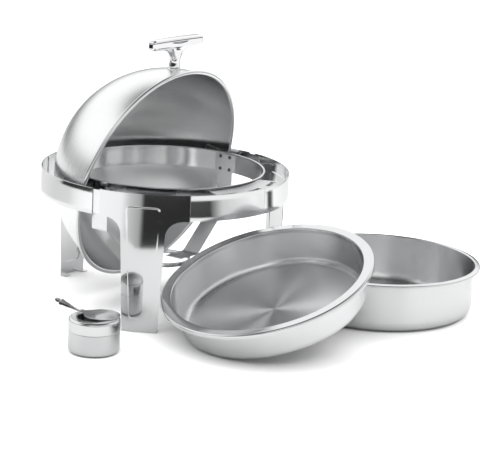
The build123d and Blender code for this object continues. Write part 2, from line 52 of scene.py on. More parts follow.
# ---------------------------------------------------------------- sizes of the object, millimetres and degrees
BAND_R, BAND_TOP, BAND_HEIGHT, SHEET = 215.0, 234.5, 44.0, 1.5
BUTT_SEAM, GAP_ANGLE = 0.07, 3.6
RING_R, RING_TOP, RING_HEIGHT = 173.0, 236.5, 36.0
HEM_R, HEM_HEIGHT = 168.5, 3.0
RING_SEAM, SEAM_DEPTH = -43.0, 0.4
LEG_ANGLE = 60.0
LEG_TOP_HALF, LEG_FOOT_HALF, LEG_ARM_HALF, LEG_FILLET = 38.0, 30.0, 20.5, 26.0
PANEL_DEPTH, PANEL_CORNER, PANEL_END = 0.35, 8.0, 22.0
PANEL_TOP_HALF, PANEL_FOOT_HALF = LEG_TOP_HALF - 9, LEG_FOOT_HALF - 11
TAB_WIDTH, TAB_LENGTH, TAB_CORNER, TAB_EDGE = 15.0, 14.5, 5.0, 0.25
LID_R, LID_SHEET, LID_RIM_UP, LID_BEAD = 192.5, 1.0, 18.5, 3.9
HANDLE_ANGLE, HANDLE_REACH, HANDLE_BAR = 14.5, 49.0, 132.0
HANDLE_THICK, HANDLE_DEPTH, HANDLE_EDGE = 17.0, 19.0, 5.5
STEM_HALF_WIDTH, STEM_HALF_DEPTH, STEM_FLARE = 8.8, 9.3, 25.0
COLLAR_HEIGHT, COLLAR_R = 4.0, 12.0
WATER_RIM_R, WATER_BODY_R, WATER_HEIGHT = 176.5, 167.0, 89.0
WATER_CORNER, WATER_BEAD, PAN_SHEET = 20.0, 2.0, 1.0
FOOD_RIM_R, FOOD_BODY_R, FOOD_BASE_R = 178.5, 161.5, 154.5
FOOD_DEPTH, FOOD_CORNER, FOOD_SKIRT = 64.0, 13.0, 7.0
FOOD_STEP_R, FOOD_STEP = 138.0, 1.6
FOOD_TILT, FOOD_TOWARDS = 19.65, 166.6
CUP_R, CUP_TOP, CUP_TURN, CUP_SHEET = 41.7, 56.6, -53.7, 0.8
CUP_CORNER, CUP_NECK = 7.0, 11.0
COVER_SKIRT, COVER_OPENING, COVER_CORNER, COVER_LIP = 36.5, 27.5, 4.5, 3.0
DAMPER_REACH, DAMPER_R, DAMPER_TURN = 36.0, 29.0, -22.9
DAMPER_HANDLE, DAMPER_RISE, DAMPER_LEAN = 50.0, 16.7, 16.0
FUEL_RING_R, FUEL_RING_BORE, FUEL_RING_HEIGHT = 49.0, 46.0, 7.0

# ---------------------------------------------------------------- where the pieces are, from the frame
joints = {j["name"]: j for j in frame["joints"]}
pivot = Vector(joints["lid_roll"]["pos_m"]) / MM
lid_open = radians(-joints["lid_roll"]["range_deg"][0])
X, Z = Vector((1, 0, 0)), Vector((0, 0, 1))
stand_axis = Vector((pivot.x, pivot.y, 0))


def placed(origin, x_dir, z_dir):
    """Matrix of a local frame, in millimetres."""
    z_dir, x_dir = z_dir.normalized(), x_dir.normalized()
    m = Matrix((x_dir, z_dir.cross(x_dir), z_dir)).transposed().to_4x4()
    m.translation = origin
    return m


def on_axis(node, x_dir, z_dir):
    """Local frame of a turned piece: on its axis, at the end that z_dir points to."""
    turn = placed(Vector(), x_dir, z_dir).to_3x3()
    corners = np.array([v.co for v in frame["nodes"][node].data.vertices]) / MM @ np.array(turn)
    low, high = corners.min(0), corners.max(0)
    middle = (low + high) / 2
    return placed(turn @ Vector((middle[0], middle[1], high[2])), x_dir, z_dir)


# ---------------------------------------------------------------- mesh building
def smooth(edge0, edge1, v):
    """Eased step from 0 at edge0 to 1 at edge1."""
    t = min(max((v - edge0) / (edge1 - edge0), 0.0), 1.0)
    return t * t * (3 - 2 * t)


def rounded(points, step=11):
    """Closed outline with its corners rounded: points are (a, b, radius), and step is in degrees."""
    out = []
    for i, (a, b, r) in enumerate(points):
        here = Vector((a, b))
        back = Vector(points[i - 1][:2]) - here
        ahead = Vector(points[(i + 1) % len(points)][:2]) - here
        if r <= 0 or back.length < 1e-6 or ahead.length < 1e-6:
            out.append((a, b))
            continue
        back.normalize()
        ahead.normalize()
        half = max(min(back.angle(ahead) / 2, pi / 2 - 1e-4), 1e-3)
        reach = r / tan(half)
        centre = here + (back + ahead).normalized() * (r / sin(half))
        first, last = here + back * reach - centre, here + ahead * reach - centre
        start = atan2(first.y, first.x)
        sweep = (atan2(last.y, last.x) - start + pi) % (2 * pi) - pi
        steps = max(2, int(abs(degrees(sweep)) / step) + 1)
        for k in range(steps + 1):
            angle = start + sweep * k / steps
            out.append((centre.x + r * cos(angle), centre.y + r * sin(angle)))
    return out


def divided(points, longest):
    """The outline with long stretches cut up, so that shading follows the curve it is bent to."""
    out = []
    for i, (a, b) in enumerate(points):
        c, d = points[(i + 1) % len(points)]
        pieces = int(hypot(c - a, d - b) / longest) + 1
        out += [(a + (c - a) * k / pieces, b + (d - b) * k / pieces) for k in range(pieces)]
    return out


def lathe(profile, angles=None, dent=None):
    """Turned mesh from a closed (radius, height) profile; angles in degrees from the front towards +X."""
    full = angles is None
    if full:
        angles = [i * 1.5 for i in range(240)]
    verts, faces = [], []
    for a in angles:
        s, c = sin(radians(a)), -cos(radians(a))
        for r, z in profile:
            if dent:
                r = dent(a, r)
            verts.append((r * s, r * c, z))
    n = len(profile)
    for i in range(len(angles) - (0 if full else 1)):
        j = (i + 1) % len(angles)
        for k in range(n):
            m = (k + 1) % n
            quad = [i * n + k, i * n + m, j * n + m, j * n + k]
            flat = [v for q, v in enumerate(quad) if Vector(verts[v]) != Vector(verts[quad[q - 1]])]
            if len(flat) > 2:
                faces.append(flat)
    if not full:
        faces.append(list(range(n)))
        faces.append([(len(angles) - 1) * n + k for k in range(n)])
    return verts, faces


def tube_faces(base, around, stations):
    """Sides and ends of a tube whose rings of points follow each other from base on."""
    faces = []
    for k in range(stations - 1):
        a, b = base + k * around, base + (k + 1) * around
        for q in range(around):
            m = (q + 1) % around
            faces.append([a + q, a + m, b + m, b + q])
    last = base + (stations - 1) * around
    faces.append([base + q for q in reversed(range(around))])
    faces.append([last + q for q in range(around)])
    return faces


def thick_sheet(verts, inner, faces):
    """Closes two matching sheets, one behind the other, along their edge."""
    n = len(verts)
    sides = dict.fromkeys((a, b) for f in faces for a, b in zip(f, f[1:] + f[:1]))
    solid = faces + [[v + n for v in reversed(f)] for f in faces]
    solid += [[b, a, a + n, b + n] for a, b in sides if (b, a) not in sides]
    return verts + inner, solid


def new_piece(name, verts, faces, matrix, material_of=None, materials=(), sharp=28):
    """Object with its origin on the piece's own axis; verts are in millimetres in the local frame."""
    turn = matrix.to_3x3()
    mesh = bpy.data.meshes.new(name)
    mesh.from_pydata([turn @ Vector(v) * MM for v in verts], [], faces)
    bm = bmesh.new()
    bm.from_mesh(mesh)
    bmesh.ops.remove_doubles(bm, verts=bm.verts, dist=1e-6)
    bmesh.ops.recalc_face_normals(bm, faces=bm.faces)
    bm.to_mesh(mesh)
    bm.free()
    for m in materials:
        mesh.materials.append(m)
    mesh.shade_smooth()
    mesh.set_sharp_from_angle(angle=radians(sharp))
    if material_of:
        back = turn.transposed()
        for p in mesh.polygons:
            c = back @ p.center / MM
            p.material_index = material_of(c.x, c.y, c.z, back @ p.normal)
    obj = bpy.data.objects.new(name, mesh)
    bpy.context.scene.collection.objects.link(obj)
    obj.location = matrix.translation * MM
    return obj


def piece(obj, body, slot, *nodes):
    """Puts a piece on its body, in the place of its CAD nodes."""
    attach(obj, body)
    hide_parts(*nodes)


# ---------------------------------------------------------------- materials
def feed(tree, socket, value):
    """Links a socket to another one, or sets it to a constant."""
    if isinstance(value, bpy.types.NodeSocket):
        tree.links.new(value, socket)
    else:
        socket.default_value = value


def add_node(tree, kind, inputs=None, output=0, **settings):
    """New shader node with its settings and inputs; gives back one of its outputs."""
    node = tree.nodes.new("ShaderNode" + kind)
    for key, value in settings.items():
        setattr(node, key, value)
    for key, value in (inputs or {}).items():
        feed(tree, node.inputs[key], value)
    return node.outputs[output]


def add_ramp(tree, value, stops):
    """Colour ramp over a value; stops are (position, colour) in rising order."""
    node = tree.nodes.new("ShaderNodeValToRGB")
    elements = node.color_ramp.elements
    while len(elements) < len(stops):
        elements.new(0.5)
    for element, (at, colour) in zip(elements, stops):
        element.position = at
        element.color = (*colour, 1)
    tree.links.new(value, node.inputs[0])
    return node.outputs[0]


def new_material(name):
    m = bpy.data.materials.new(name)
    m.use_nodes = True
    return m, m.node_tree


LINES_A_METRE, LINE_SWEEP = 2600.0, 2.2
GRAIN_SHARE, GRAIN_LOW, GRAIN_HIGH = 0.6, 0.3, 0.7
CLOUD_SCALE, HAZE_SCALE = 14.0, 22.0


def steel(name, colour, colour_var, rough, rough_var, spun=0.0, haze=0.0, axis=(0, 0, 1)):
    """Stainless steel: fine lines round an axis through the origin, uneven polish and a faint cloudy tone."""
    m, tree = new_material(name)
    shader = tree.nodes["Principled BSDF"]
    shader.inputs["Metallic"].default_value = 1.0

    def vector(operation, *inputs, output=0):
        return add_node(tree, "VectorMath", dict(enumerate(inputs)), output, operation=operation)

    def scaled(value, factor):
        return add_node(tree, "VectorMath", {0: value, "Scale": factor}, operation="SCALE")

    def number(operation, *inputs):
        return add_node(tree, "Math", dict(enumerate(inputs)), operation=operation)

    def noise(at, scale, detail):
        return add_node(tree, "TexNoise", {"Vector": at, "Scale": scale, "Detail": detail}, "Fac")

    coords = add_node(tree, "TexCoord", output="Object")
    height = vector("DOT_PRODUCT", coords, axis, output=1)
    flat = vector("SUBTRACT", coords, scaled(axis, height))
    radius = vector("LENGTH", flat, output=1)
    outward = vector("NORMALIZE", flat)
    line = number("MULTIPLY", number("ADD", radius, height), LINES_A_METRE)
    grain = noise(vector("ADD", scaled(outward, LINE_SWEEP), scaled(axis, line)), 1.0, 3.0)
    cloud = noise(coords, CLOUD_SCALE, 4.0)
    both = number("MULTIPLY_ADD", grain, GRAIN_SHARE, number("MULTIPLY", cloud, 1 - GRAIN_SHARE))
    stops = [(at, [min(c + change, 1) for c in colour])
             for at, change in ((GRAIN_LOW, -colour_var), (GRAIN_HIGH, colour_var))]
    feed(tree, shader.inputs["Base Color"], add_ramp(tree, both, stops))
    spread = {"Value": both, "From Min": GRAIN_LOW, "From Max": GRAIN_HIGH,
              "To Min": max(rough - rough_var, 0.0), "To Max": rough + rough_var}
    feed(tree, shader.inputs["Roughness"], add_node(tree, "MapRange", spread))
    if spun:
        shader.inputs["Anisotropic"].default_value = spun
        shader.inputs["Anisotropic Rotation"].default_value = 0.25
        around = add_node(tree, "VectorTransform", {0: vector("CROSS_PRODUCT", axis, outward)},
                          vector_type="VECTOR", convert_from="OBJECT", convert_to="WORLD")
        feed(tree, shader.inputs["Tangent"], around)
    if haze:
        waves = {"Distance": haze * MM, "Height": noise(coords, HAZE_SCALE, 1.0)}
        feed(tree, shader.inputs["Normal"], add_node(tree, "Bump", waves))
    return m


def cool(grey):
    """The faintly blue grey of stainless steel."""
    return grey, grey + 0.005, grey + 0.01


tilt, towards = radians(FOOD_TILT), radians(FOOD_TOWARDS)
lid_z = Vector((0, sin(lid_open), cos(lid_open)))
food_z = Vector((sin(tilt) * cos(towards), sin(tilt) * sin(towards), cos(tilt)))

mirror = steel("mirror_polish", cool(0.8), 0.012, 0.08, 0.02, spun=0.8, haze=0.04)
# the legs take the bands' polished steel in a darker colour: painted shade, standing in for the dimmer floor
# that the lower legs reflect
leg_polish_painted_shade = steel("leg_polish_painted_shade", cool(0.71), 0.012, 0.06, 0.02, spun=0.5, haze=0.06)
ring_inside = steel("ring_satin", cool(0.86), 0.03, 0.2, 0.02, spun=0.97)
lid_outside = steel("lid_polish", cool(0.93), 0.012, 0.27, 0.02, spun=0.4, haze=0.03, axis=lid_z)
lid_inside = steel("lid_satin", cool(0.72), 0.025, 0.24, 0.02, spun=0.85, axis=lid_z)
lid_edge = steel("lid_edge", cool(0.84), 0.012, 0.12, 0.02, axis=lid_z)
water_satin = steel("water_satin", cool(0.84), 0.02, 0.24, 0.015, spun=0.97)
food_satin = steel("food_satin", cool(0.88), 0.02, 0.22, 0.015, spun=0.97, axis=food_z)
food_floor = steel("food_floor", cool(0.84), 0.02, 0.38, 0.01, spun=1.0, axis=food_z)
pan_rim = steel("pan_rim", cool(0.74), 0.015, 0.14, 0.02)
chrome = steel("handle_chrome", (0.86, 0.86, 0.87), 0.01, 0.03, 0.01, haze=0.02)
cup_satin = steel("cup_satin", cool(0.7), 0.015, 0.24, 0.01, spun=0.9)
cover_polish = steel("cover_polish", cool(0.76), 0.015, 0.1, 0.02, spun=0.5)
strip = steel("rolled_strip", cool(0.82), 0.03, 0.2, 0.05)
turned_steel = steel("turned_hardware", cool(0.5), 0.03, 0.25, 0.06)
rivet_steel = steel("rivet_steel", (0.13, 0.133, 0.136), 0.02, 0.3, 0.03)
damper_face = steel("damper_face", cool(0.8), 0.015, 0.14, 0.02)

# ---------------------------------------------------------------- stand: bands
stand = placed(stand_axis, X, Z)
band_in, band_bottom = BAND_R - SHEET, BAND_TOP - BAND_HEIGHT
arm_half = BAND_R * sin(radians(LEG_ARM_HALF))
plate_half = degrees(asin(arm_half / band_in))
leg_edge = LEG_ANGLE - plate_half
rear_start, rear_end = LEG_ANGLE + plate_half + GAP_ANGLE, 180 - plate_half
band_profile = divided(rounded([(band_in, band_bottom, 0.4), (BAND_R, band_bottom, 0.4),
                                (BAND_R, BAND_TOP, 0.4), (band_in, BAND_TOP, 0.4)], step=30), 12)
for side, side_name in ((-1, "left"), (1, "right")):
    for start, end, where in ((BUTT_SEAM, leg_edge - BUTT_SEAM, "front"),
                              (rear_start, rear_end - BUTT_SEAM, "rear")):
        count = int((end - start) / 1.5) + 2
        verts, faces = lathe(band_profile, [side * a for a in np.linspace(start, end, count)])
        band = new_piece(f"band_skin_{where}_{side_name}", verts, faces, stand, materials=[mirror])
        piece(band, "stand", "mirror_steel", f"band_{where}_{side_name}")


# ---------------------------------------------------------------- stand: legs with a pressed panel
def half_width(z):
    """Half of the leg plate's width at a height, up to the band."""
    straight = LEG_FOOT_HALF + (LEG_TOP_HALF - LEG_FOOT_HALF) * z / band_bottom
    down = band_bottom - z
    if down >= LEG_FILLET:
        return straight
    return straight + LEG_FILLET - sqrt(max(LEG_FILLET**2 - (LEG_FILLET - down) ** 2, 0))


def pressed(x, z):
    """How far the centre panel stands out at a point of the plate."""
    top, foot = BAND_TOP - PANEL_END, PANEL_END
    wide = PANEL_FOOT_HALF + (PANEL_TOP_HALF - PANEL_FOOT_HALF) * (z - foot) / (top - foot)
    dx = max(abs(x) - wide + PANEL_CORNER, 0.0)
    dz = max(abs(z - (top + foot) / 2) - (top - foot) / 2 + PANEL_CORNER, 0.0)
    return PANEL_DEPTH * smooth(-0.2, 1.6, PANEL_CORNER - hypot(dx, dz))


def leg_plate():
    """The plate rolled to the bands' curve, as rows of points from the foot up."""
    just_under = band_bottom - 1e-6
    corner = half_width(just_under)
    across = [-1 + 2 * i / 104 for i in range(105)]
    fillet = [band_bottom - LEG_FILLET * (1 - cos(radians(a))) for a in np.linspace(90, 0, 14)]
    heights = sorted({round(z, 4) for z in list(np.linspace(0, band_bottom - LEG_FILLET, 200)) + fillet})
    rows = [[(u * half_width(min(z, just_under)), z) for u in across] for z in heights]
    arm = list(np.linspace(corner, arm_half, 8))[1:]
    wide = [-x for x in reversed(arm)] + [u * corner for u in across] + arm
    top_rows = [[(x, z) for x in wide] for z in np.linspace(band_bottom, BAND_TOP, 60)]
    verts, inner, faces = [], [], []
    for block in (rows, top_rows):
        base, count = len(verts), len(block[0])
        for x, z in (point for row in block for point in row):
            r = BAND_R + pressed(x, z)
            shrink = (r - SHEET) / r
            verts.append((x, -sqrt(r**2 - x**2), z))
            inner.append((x * shrink, -sqrt((r - SHEET) ** 2 - (x * shrink) ** 2), z))
        for i, k in product(range(len(block) - 1), range(count - 1)):
            a = base + i * count + k
            faces.append([a, a + 1, a + count + 1, a + count])
    # the stem's last row is the middle of the upper part's first row
    last, first = (len(rows) - 1) * len(across), len(rows) * len(across) + len(arm)
    join = {last + k: first + k for k in range(len(across))}
    return thick_sheet(verts, inner, [[join.get(v, v) for v in f] for f in faces])


def leg_mesh():
    """The leg plate with its two foot tabs, bent inwards at the corners."""
    verts, faces = leg_plate()
    for side in (-1, 1):
        mid = side * (LEG_FOOT_HALF - TAB_WIDTH / 2)
        left, right = mid - TAB_WIDTH / 2, mid + TAB_WIDTH / 2
        near, far = -sqrt((BAND_R - 0.4) ** 2 - mid**2), -(BAND_R - SHEET - TAB_LENGTH)
        outline = rounded([(left, near, 0.2), (right, near, 0.2), (right, far, TAB_CORNER),
                           (left, far, TAB_CORNER)], step=12)
        base, middle_y = len(verts), (near + far) / 2
        layers = ((0.0, TAB_EDGE), (TAB_EDGE, 0.0), (SHEET - TAB_EDGE, 0.0), (SHEET, TAB_EDGE))
        for z, inset in layers:
            k = 1 - inset / 10
            verts += [(mid + (x - mid) * k, middle_y + (y - middle_y) * k, z) for x, y in outline]
        faces += tube_faces(base, len(outline), len(layers))
    return verts, faces


leg_verts, leg_faces = leg_mesh()
for angle, leg in ((-LEG_ANGLE, "leg_left_front"), (LEG_ANGLE, "leg_right_front"), (180, "leg_rear")):
    leg_place = placed(stand_axis, Vector((cos(radians(angle)), sin(radians(angle)), 0)), Z)
    plate_name = leg.replace("leg_", "leg_plate_")
    # the leg plates are made in the darker steel, whose colour is painted shade
    plate = new_piece(plate_name, leg_verts, leg_faces, leg_place, materials=[leg_polish_painted_shade])
    piece(plate, "stand", "mirror_steel", leg)

# ---------------------------------------------------------------- pan ring and fuel ring
ring_in, ring_bottom, hem_bottom = RING_R - SHEET, RING_TOP - RING_HEIGHT, RING_TOP - HEM_HEIGHT
ring_profile = divided(rounded([(ring_in, ring_bottom, 0.4), (RING_R, ring_bottom, 0.4),
                                (RING_R, RING_TOP, 0.8), (HEM_R, RING_TOP, 1.2),
                                (HEM_R, hem_bottom, 1.2), (ring_in, hem_bottom, 0.3)], step=22), 9)


def ring_groove(a, r):
    """The hoop's butted seam, a groove on its outside."""
    away = abs((a - RING_SEAM + 180) % 360 - 180)
    return r - SEAM_DEPTH if away < 0.16 and r > RING_R - 0.5 else r


def ring_side(x, y, z, n):
    """The inside of the hoop is satin, and the rest is polished."""
    return 1 if x * n.x + y * n.y < 0 and hypot(x, y) > ring_in - 0.3 else 0


seam_angles = [(RING_SEAM + d) % 360 for d in (-0.17, -0.15, 0.15, 0.17)]
ring_angles = sorted([i * 1.5 for i in range(240)] + seam_angles) + [360.0]
verts, faces = lathe(ring_profile, ring_angles, ring_groove)
hoop_faces = faces[:-2]  # its ends meet, so they need no caps
ring = new_piece("pan_ring_hoop", verts, hoop_faces, stand, ring_side, [mirror, ring_inside])
piece(ring, "stand", "mirror_steel", "pan_ring")

fuel_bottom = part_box("fuel_ring")[0].z / MM
fuel_top = fuel_bottom + FUEL_RING_HEIGHT
verts, faces = lathe(rounded([(FUEL_RING_BORE, fuel_bottom, 0.4), (FUEL_RING_R, fuel_bottom, 0.4),
                              (FUEL_RING_R, fuel_top, 0.9), (FUEL_RING_BORE, fuel_top, 0.9)], step=22))
fuel_ring = new_piece("fuel_ring_hoop", verts, faces, stand, materials=[strip])
piece(fuel_ring, "stand", "strap_steel", "fuel_ring")

# ---------------------------------------------------------------- lid: dome with a rolled bead outside its rim
lid_place = placed(pivot, X, lid_z)
lid_in = LID_R - LID_SHEET
rim_r = sqrt(lid_in**2 - LID_RIM_UP**2) + LID_BEAD
rim_at = asin((LID_RIM_UP + LID_BEAD * 0.75) / LID_R)
outer = [(LID_R * cos(a), LID_R * sin(a)) for a in np.linspace(rim_at, pi / 2, 110)]
inner = [(lid_in * cos(a), lid_in * sin(a)) for a in np.linspace(pi / 2, asin(LID_RIM_UP / lid_in), 110)]
outer[-1], inner[0] = (0.0, LID_R), (0.0, lid_in)
bead = [(rim_r + LID_BEAD * cos(a), LID_RIM_UP + LID_BEAD * sin(a))
        for a in np.linspace(radians(190), radians(482), 26)]
verts, faces = lathe(outer + inner + bead)


def lid_side(x, y, z, n):
    """Outside, inside or bead."""
    in_bead = z < LID_RIM_UP + LID_BEAD + 0.1 and hypot(x, y) > rim_r - LID_BEAD + 0.3
    if in_bead or z < LID_RIM_UP:
        return 2
    return 0 if x * n.x + y * n.y + z * n.z > 0 else 1


lid = new_piece("lid_dome", verts, faces, lid_place, lid_side, [lid_outside, lid_inside, lid_edge], sharp=35)
piece(lid, "roll_lid", "lid_steel", "lid_shell")

# ---------------------------------------------------------------- handle: cast T on a collar
lift = radians(HANDLE_ANGLE) + lid_open
handle_dir = Vector((0, -cos(lift), sin(lift)))
handle_place = placed(pivot + handle_dir * LID_R, X, handle_dir)
bar_half = HANDLE_BAR / 2
bar_top = HANDLE_REACH + HANDLE_THICK / 2 - 0.2
bar_under = HANDLE_REACH - HANDLE_THICK / 2 - 3.0


def handle_solid(x, y, z):
    """Distance to the cast T's surface, less than 0 inside: bar along x, stem along z."""
    along = min(abs(x) / bar_half, 1.0)
    top, low = bar_top - along**2, bar_under + 0.5 * along
    mid, half = (top + low) / 2, (top - low) / 2
    depth = HANDLE_DEPTH / 2 * (1 - 0.06 * along**2)
    past = [a + HANDLE_EDGE for a in (abs(x) - bar_half, abs(y) - depth, abs(z - mid) - half)]
    bar = hypot(*[max(c, 0) for c in past]) + min(max(past), 0) - HANDLE_EDGE
    # the stem is oval, wider at the collar, and flared in a curve up to the bar's underside
    lower = smooth(20, COLLAR_HEIGHT, z) * 1.8
    rise = min(max(z - (low - STEM_FLARE), 0.0), STEM_FLARE)
    flare = STEM_FLARE - sqrt(STEM_FLARE**2 - rise**2)
    sx = STEM_HALF_WIDTH + lower + min(1.5 * flare, 25)
    sy = STEM_HALF_DEPTH + lower * 0.5
    stem = (sqrt((x / sx) ** 2 + (y / sy) ** 2) - 1) * min(sx, sy)
    stem = max(stem, COLLAR_HEIGHT - z, z - mid)
    blend = max(4.0 - abs(bar - stem), 0) / 4.0
    return min(bar, stem) - blend * blend


def moved(point, axis, by):
    """A point, as a list, moved along one axis."""
    out = list(point)
    out[axis] += by
    return out


def crossings(cell):
    """Where the surface crosses the twelve edges of a cell of the grid."""
    points = []
    for a, b, axis in product(range(2), range(2), range(3)):
        p = [a, b]
        p.insert(axis, 0)
        u, v = cell[tuple(p)], cell[tuple(moved(p, axis, 1))]
        if (u < 0) != (v < 0):
            points.append(moved(p, axis, u / (u - v)))
    return points


def march(solid, low, high, step):
    """Surface of a solid function, as quads on a grid pulled onto the surface."""
    size = [int((b - a) / step) + 2 for a, b in zip(low, high)]
    grid = np.zeros(size)
    for at in product(*map(range, size)):
        grid[at] = solid(*[a + k * step for a, k in zip(low, at)])
    index, verts, faces = {}, [], []
    for i, j, k in product(*[range(n - 1) for n in size]):
        cell = grid[i:i + 2, j:j + 2, k:k + 2]
        if cell.min() < 0 <= cell.max():
            points = crossings(cell)
            index[i, j, k] = len(verts)
            middle = [sum(c) / len(points) for c in zip(*points)]
            verts.append([a + (n + c) * step for a, n, c in zip(low, (i, j, k), middle)])
    for at, axis in product(index, range(3)):
        far = moved(at, axis, 1)
        if far[axis] >= size[axis] or (grid[at] < 0) == (grid[tuple(far)] < 0):
            continue
        p, q = [n for n in range(3) if n != axis]
        quad = [index.get(tuple(moved(moved(at, p, -a), q, -b)))
                for a, b in ((0, 0), (1, 0), (1, 1), (0, 1))]
        if None not in quad:
            faces.append(quad)
    # pull each point onto the surface along its slope
    probe = 0.05
    for v in verts:
        for _ in range(3):
            d = solid(*v)
            slope = [(solid(*moved(v, n, probe)) - d) / probe for n in range(3)]
            length = sum(c * c for c in slope) or 1
            for n in range(3):
                v[n] -= slope[n] * d / length
    return verts, faces


verts, faces = march(handle_solid, (-bar_half - 3, -14, COLLAR_HEIGHT - 3),
                     (bar_half + 3, 14, HANDLE_REACH + HANDLE_THICK / 2 + 3), 1.4)
handle = new_piece("handle_cast", verts, faces, handle_place, materials=[chrome], sharp=48)
piece(handle, "roll_lid", "cast_chrome", "handle")
sag = COLLAR_R**2 / (2 * LID_R)  # the collar's foot follows the dome
verts, faces = lathe(rounded([(0, -sag * 0.2, 0), (COLLAR_R, -sag, 0), (COLLAR_R, COLLAR_HEIGHT, 1.8),
                              (0, COLLAR_HEIGHT, 0)], step=18))
collar = new_piece("handle_foot", verts, faces, handle_place, materials=[chrome])
piece(collar, "roll_lid", "cast_chrome", "handle_collar")

# ---------------------------------------------------------------- water pan
water_place = on_axis("water_pan", X, Z)
water_place.translation.z = 0
base_r = WATER_BODY_R - 2
bead_r, bead_z = WATER_RIM_R - WATER_BEAD, WATER_HEIGHT - 4.2
bead = [(bead_r + WATER_BEAD * cos(a), bead_z + WATER_BEAD * sin(a), 0)
        for a in np.linspace(radians(-170), radians(80), 14)]
water_profile = rounded([(0, 0, 0), (base_r, 0, WATER_CORNER), (WATER_BODY_R, WATER_HEIGHT - 1, 1.5)] + bead
                        + [(WATER_BODY_R - PAN_SHEET, WATER_HEIGHT - 0.2, 3.0),
                           (base_r - PAN_SHEET, PAN_SHEET, WATER_CORNER - PAN_SHEET), (0, PAN_SHEET, 0)], step=6)
verts, faces = lathe(divided(water_profile, 6))


def water_face(x, y, z, n):
    """Bowl or rim."""
    return 1 if z > WATER_HEIGHT - 6.5 and hypot(x, y) > WATER_BODY_R - 1.6 else 0


water = new_piece("water_pan_bowl", verts, faces, water_place, water_face, [water_satin, pan_rim])
piece(water, "water_pan", "satin_steel", "water_pan")

# ---------------------------------------------------------------- food pan: heights are from its rim
uphill = Vector((-cos(tilt) * cos(towards), -cos(tilt) * sin(towards), sin(tilt)))
food_place = on_axis("food_pan", uphill, food_z)
food_in, step_out = PAN_SHEET - FOOD_DEPTH, FOOD_STEP - FOOD_DEPTH
food_profile = rounded([(0, step_out, 0), (FOOD_STEP_R, step_out, 1.5),
                        (FOOD_STEP_R + 1, -FOOD_DEPTH, 1.0),
                        (FOOD_BASE_R, -FOOD_DEPTH, FOOD_CORNER), (FOOD_BODY_R, -PAN_SHEET, 1.5),
                        (FOOD_RIM_R - PAN_SHEET, -PAN_SHEET, 2), (FOOD_RIM_R - PAN_SHEET, -FOOD_SKIRT, 0.2),
                        (FOOD_RIM_R, -FOOD_SKIRT, 0.2), (FOOD_RIM_R, 0, 3), (FOOD_BODY_R - PAN_SHEET, 0, 2.5),
                        (FOOD_BASE_R - PAN_SHEET, food_in, FOOD_CORNER - PAN_SHEET),
                        (FOOD_STEP_R + 0.6, food_in, 0.6), (FOOD_STEP_R - 0.4, step_out + PAN_SHEET, 0.6),
                        (0, step_out + PAN_SHEET, 0)], step=8)
verts, faces = lathe(divided(food_profile, 6))


def food_face(x, y, z, n):
    """Bowl, rim or the spun floor."""
    if n.z > 0.9 and z < 4 - FOOD_DEPTH:
        return 2
    return 1 if z > -FOOD_SKIRT - 1 and hypot(x, y) > FOOD_BODY_R - 3.2 else 0


food = new_piece("food_pan_bowl", verts, faces, food_place, food_face, [food_satin, pan_rim, food_floor])
piece(food, "food_pan", "satin_steel", "food_pan")

# ---------------------------------------------------------------- fuel cup and its cover
turn = radians(CUP_TURN)
cup_place = on_axis("fuel_cup", Vector((cos(turn), sin(turn), 0)), Z)
cup_place.translation.z = 0
body_r, cover_in, ledge = CUP_R - 0.5, CUP_R - 1.0, COVER_SKIRT - 0.3
neck_r = cover_in - 0.3
neck_in, body_in = neck_r - CUP_SHEET, body_r - CUP_SHEET
cup_profile = rounded([(0, 0, 0), (body_r, 0, CUP_CORNER), (body_r, ledge, 0.8), (neck_r, ledge, 0.2),
                       (neck_r, ledge + CUP_NECK, 0.3), (neck_in, ledge + CUP_NECK, 0.3),
                       (neck_in, ledge - 0.5, 0.2), (body_in, ledge - 2, 0.2),
                       (body_in, CUP_SHEET, CUP_CORNER - CUP_SHEET), (0, CUP_SHEET, 0)], step=9)
verts, faces = lathe(divided(cup_profile, 3))
cup = new_piece("fuel_cup_body", verts, faces, cup_place, materials=[cup_satin])
piece(cup, "fuel_cup", "satin_steel", "fuel_cup")
lip = COVER_OPENING + CUP_SHEET
cover_profile = rounded([(cover_in, COVER_SKIRT, 0.2), (CUP_R, COVER_SKIRT, 0.3),
                         (CUP_R, CUP_TOP, COVER_CORNER),
                         (COVER_OPENING, CUP_TOP, 0.8), (COVER_OPENING, CUP_TOP - COVER_LIP, 0.2),
                         (lip, CUP_TOP - COVER_LIP, 0.2), (lip, CUP_TOP - 1, 0.2),
                         (cover_in, CUP_TOP - 1, COVER_CORNER - 1)], step=9)
verts, faces = lathe(divided(cover_profile, 3))
cover = new_piece("fuel_cover", verts, faces, cup_place, materials=[cover_polish])
piece(cover, "cup_cover", "mirror_steel", "cup_cover")

# ---------------------------------------------------------------- damper, turning on its rivet
damper_joint = Vector(joints["damper_swing"]["pos_m"]) / MM
swing = turn + radians(DAMPER_TURN)
damper_place = placed(Vector((damper_joint.x, damper_joint.y, CUP_TOP + 0.3)),
                      Vector((cos(swing), sin(swing), 0)), Z)


def damper_disc():
    """Domed disc that covers the cup's opening."""
    profile = [(0, 1.3, 0), (DAMPER_R - 4, 0.1, 6), (DAMPER_R - 1, 0, 0.4), (DAMPER_R, 0, 0.4),
               (DAMPER_R, 1, 0.4), (DAMPER_R - 1, 1, 0.4), (DAMPER_R - 4, 1.1, 6), (0, 2.3, 0)]
    verts, faces = lathe(divided(rounded(profile), 3), [i * 3 for i in range(121)])
    return [(x + DAMPER_REACH, y, z) for x, y, z in verts], faces[:-2]


def damper_neck():
    """Flat strip from under the rivet to the disc."""
    outline = [(-7.6, -3.2), (0, -6.5), (14, -9), (14, 9), (0, 6.5), (-7.6, 3.2)]
    return [(x, y, z) for z in (0.05, 0.95) for x, y in outline], tube_faces(0, len(outline), 2)


